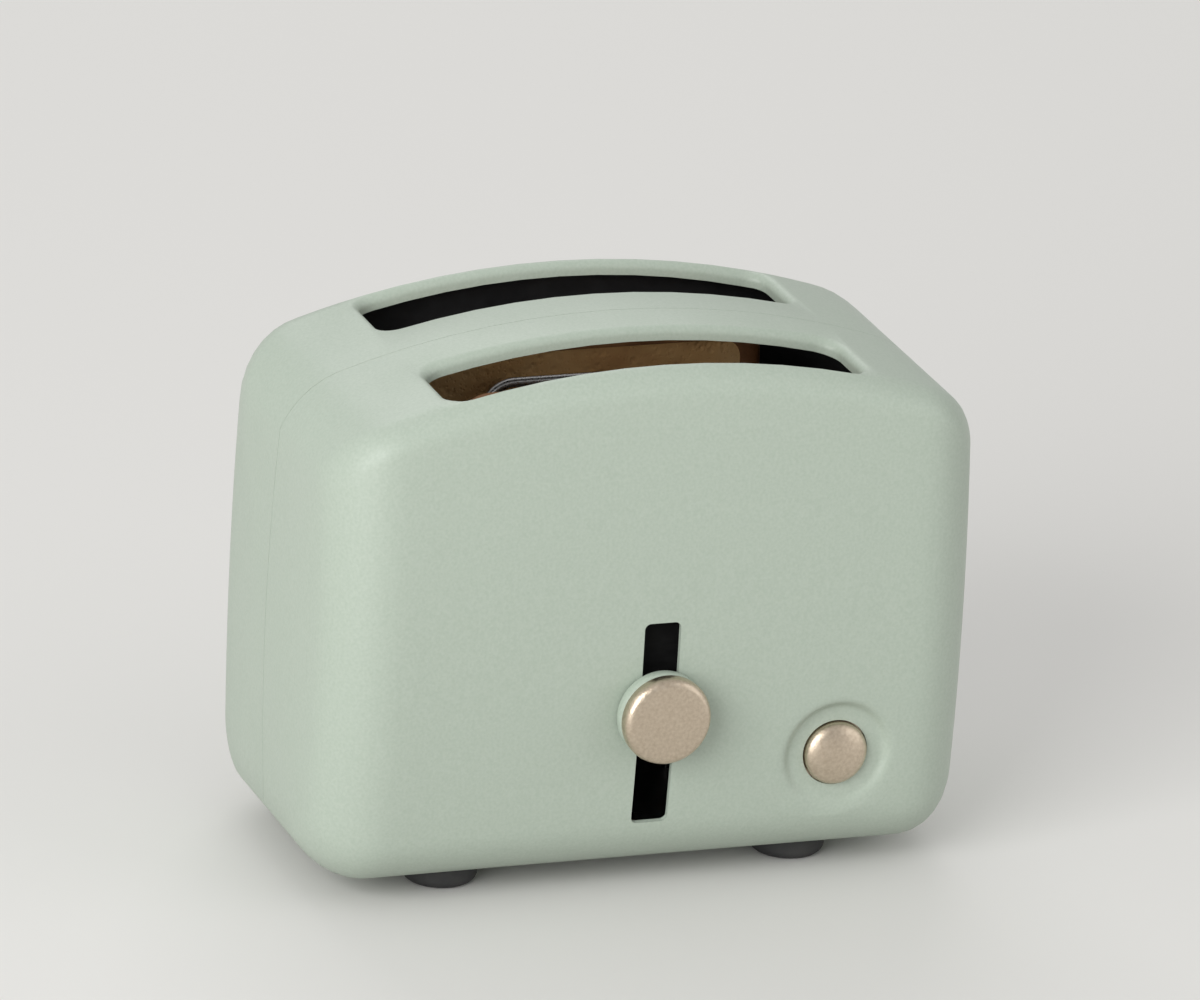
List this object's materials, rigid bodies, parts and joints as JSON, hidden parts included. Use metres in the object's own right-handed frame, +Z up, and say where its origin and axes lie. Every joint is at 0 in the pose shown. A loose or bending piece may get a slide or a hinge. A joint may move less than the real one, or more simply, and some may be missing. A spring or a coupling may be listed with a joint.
{
  "type": "toy toaster",
  "caption": "Doll's-house pop-up toaster of painted pressed tin, with two bread slots, a sliding lever, a stop button and slices of toast.",
  "frame": {"origin": "on the floor plane, under the middle of the footprint with the lever knob counted in", "axes": "+X to the right seen from the front, +Y towards the rear, +Z up"},
  "size_m": [0.064, 0.0392, 0.051],
  "materials": {
    "mint_paint": "satin",
    "satin_brass": "satin, blasted",
    "bare_tin": "satin",
    "spring_steel": "bright",
    "bush_brass": "turned",
    "black_fibre": "matt",
    "foot_rubber": "matt",
    "screw_steel": "zinc plated",
    "toast_wood": "painted, matt"
  },
  "bodies": {
    "housing": {"front_shell": "mint_paint", "rear_shell": "mint_paint", "seam_band": "bare_tin", "base_plate": "bare_tin", "foot_front_left": "foot_rubber", "foot_front_right": "foot_rubber", "foot_rear_left": "foot_rubber", "foot_rear_right": "foot_rubber", "foot_screws": "screw_steel", "left_guide_rod": "spring_steel", "right_guide_rod": "spring_steel", "rod_brace": "bare_tin", "front_guard_wire": "spring_steel", "rear_guard_wire": "spring_steel", "button_cup": "bare_tin", "button_spring": "spring_steel"},
    "carriage": {"carriage_plate": "bare_tin", "front_bread_tray": "bare_tin", "rear_bread_tray": "bare_tin", "carriage_rivets": "screw_steel", "left_bush": "bush_brass", "right_bush": "bush_brass", "friction_spring": "spring_steel", "lever_shank": "screw_steel", "slide_plate": "black_fibre", "collar_washer": "mint_paint", "lever_knob": "satin_brass"},
    "button": {"stop_button": "satin_brass"},
    "front_slice": {"front_toast": "toast_wood"},
    "rear_slice": {"rear_toast": "toast_wood"}
  },
  "joints": [
    {"name": "lever_slide", "type": "slide", "parent": "housing", "child": "carriage", "axis": [0, 0, 1], "range_m": [-0.0098, 0.0072]},
    {"name": "button_press", "type": "slide", "parent": "housing", "child": "button", "axis": [0, 1, 0], "range_m": [0, 0.0008], "stiffness_N_per_m": 300, "springref_m": -0.001, "deforming": ["button_spring"]},
    {"name": "front_toast_lift", "type": "slide", "parent": "carriage", "child": "front_slice", "axis": [0, 0, 1], "range_m": [0, 0.036]},
    {"name": "rear_toast_lift", "type": "slide", "parent": "carriage", "child": "rear_slice", "axis": [0, 0, 1], "range_m": [0, 0.036]}
  ]
}
